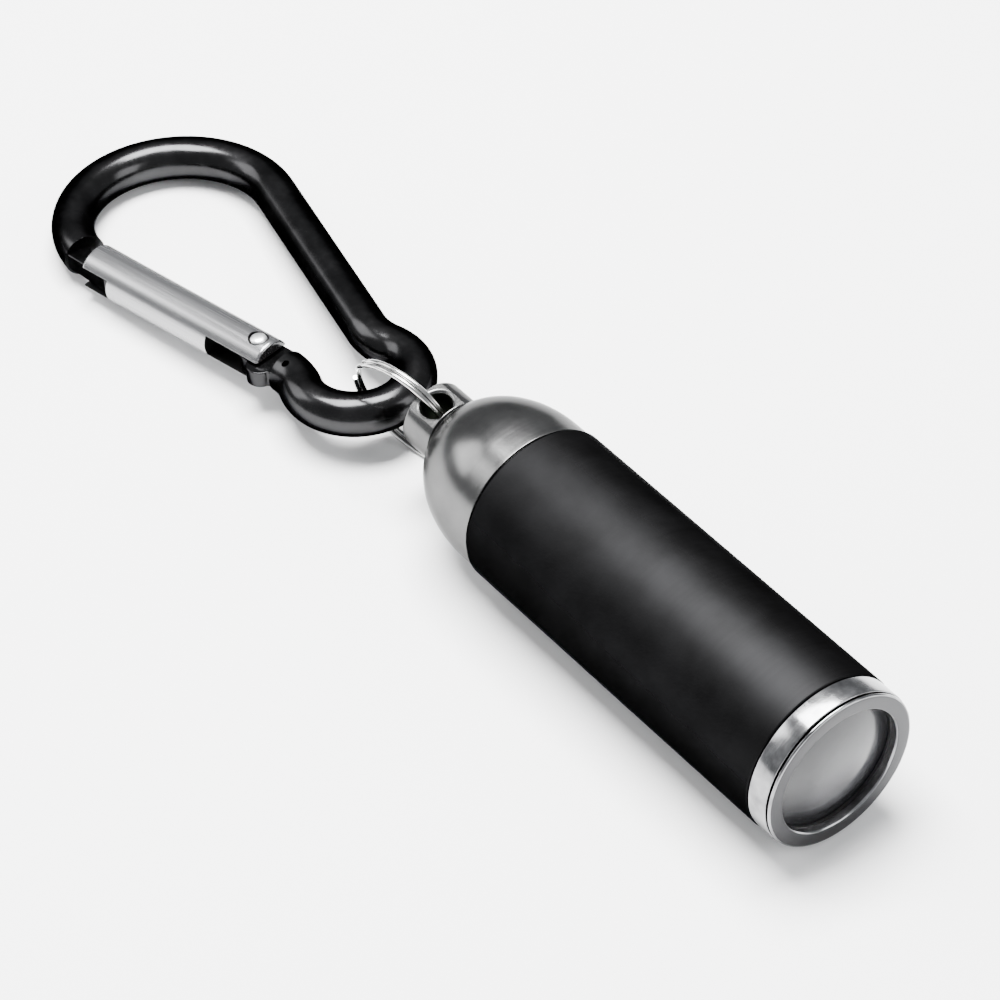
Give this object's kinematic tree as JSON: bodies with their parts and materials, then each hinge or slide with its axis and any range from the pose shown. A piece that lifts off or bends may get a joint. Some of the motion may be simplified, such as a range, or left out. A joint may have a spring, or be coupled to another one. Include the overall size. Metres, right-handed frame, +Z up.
{
  "type": "keychain flashlight",
  "caption": "Small pull-out zoom torch with a black sleeve, bright bezel, convex lens and domed tail cap, on a split ring with a mini carabiner.",
  "frame": {"origin": "under the middle of the whole object, on the surface it rests on", "axes": "+X along the torch towards the lens, +Z up, the carabiner lies towards -X"},
  "size_m": [0.1044, 0.023, 0.015],
  "materials": {
    "black_anodised": "matt black anodised, faint turning lines",
    "bright_chrome": "polished and plated",
    "nickel": "turned and nickel plated, bright",
    "bright_steel": "nickel-plated spring wire",
    "satin_aluminium": "satin, brushed lengthwise",
    "gloss_black": "black anodised, glossy",
    "clear_acrylic": "clear moulded lens",
    "black_rubber": "soft, matt",
    "cell_steel": "bright can",
    "spring_steel": "drawn wire",
    "white_plastic": "moulded",
    "board_white": "white solder mask",
    "led_phosphor": "yellow phosphor",
    "clear_silicone": "clear dome",
    "brass": "machined"
  },
  "bodies": {
    "barrel": {"battery_tube": "nickel", "battery_liner": "white_plastic", "battery_cell_1": "cell_steel", "battery_cell_2": "cell_steel", "battery_cell_3": "cell_steel", "led_holder": "brass", "led_board": "board_white", "led_package": "led_phosphor", "led_dome": "clear_silicone", "contact_insulator": "white_plastic", "positive_contact_spring": "spring_steel", "stop_ring": "spring_steel", "front_o_ring": "black_rubber", "rear_o_ring": "black_rubber"},
    "head": {"outer_sleeve": "black_anodised", "bezel_ring": "bright_chrome", "lens": "clear_acrylic", "lens_gasket": "black_rubber", "lens_retainer": "black_anodised"},
    "tail": {"tail_cap": "nickel", "tail_o_ring": "black_rubber", "tail_spring": "spring_steel"},
    "ring": {"split_ring": "bright_steel"},
    "carabiner": {"carabiner_frame": "gloss_black"},
    "gate": {"gate": "satin_aluminium", "gate_pivot_pin": "satin_aluminium", "gate_spring": "spring_steel"},
    "plunger": {"gate_plunger": "spring_steel"}
  },
  "joints": [
    {"name": "head_slide", "type": "slide", "parent": "barrel", "child": "head", "axis": [1, 0, 0], "range_m": [0, 0.0058]},
    {"name": "tail_cap_off", "type": "slide", "parent": "barrel", "child": "tail", "axis": [-1, 0, 0], "range_m": [0, 0.012]},
    {"name": "ring_swing", "type": "hinge", "parent": "tail", "child": "ring", "pos_m": [0.00071, -0.00093, 0.0075], "axis": [0, -0.2756, 0.9613], "range_deg": [-65, 50]},
    {"name": "carabiner_swing", "type": "hinge", "parent": "ring", "child": "carabiner", "pos_m": [-0.00673, -0.00108, 0.00425], "axis": [0.0305, 0.9995, 0], "range_deg": [-60, 60]},
    {"name": "gate_hinge", "type": "hinge", "parent": "carabiner", "child": "gate", "pos_m": [-0.01961, -0.00578, 0.0036], "axis": [0.0513, -0.0016, -0.9987], "range_deg": [0, 26], "stiffness_Nm_per_rad": 0.01, "springref_deg": -9.74, "deforming": ["gate_spring"]},
    {"name": "gate_plunger_slide", "type": "slide", "parent": "gate", "child": "plunger", "axis": [-0.9814, -0.1854, -0.0501], "range_m": [0, 0.0006]}
  ],
  "couplings": [
    {"joint": "gate_plunger_slide", "follows": "gate_hinge", "m_per_rad": 0.00115}
  ]
}
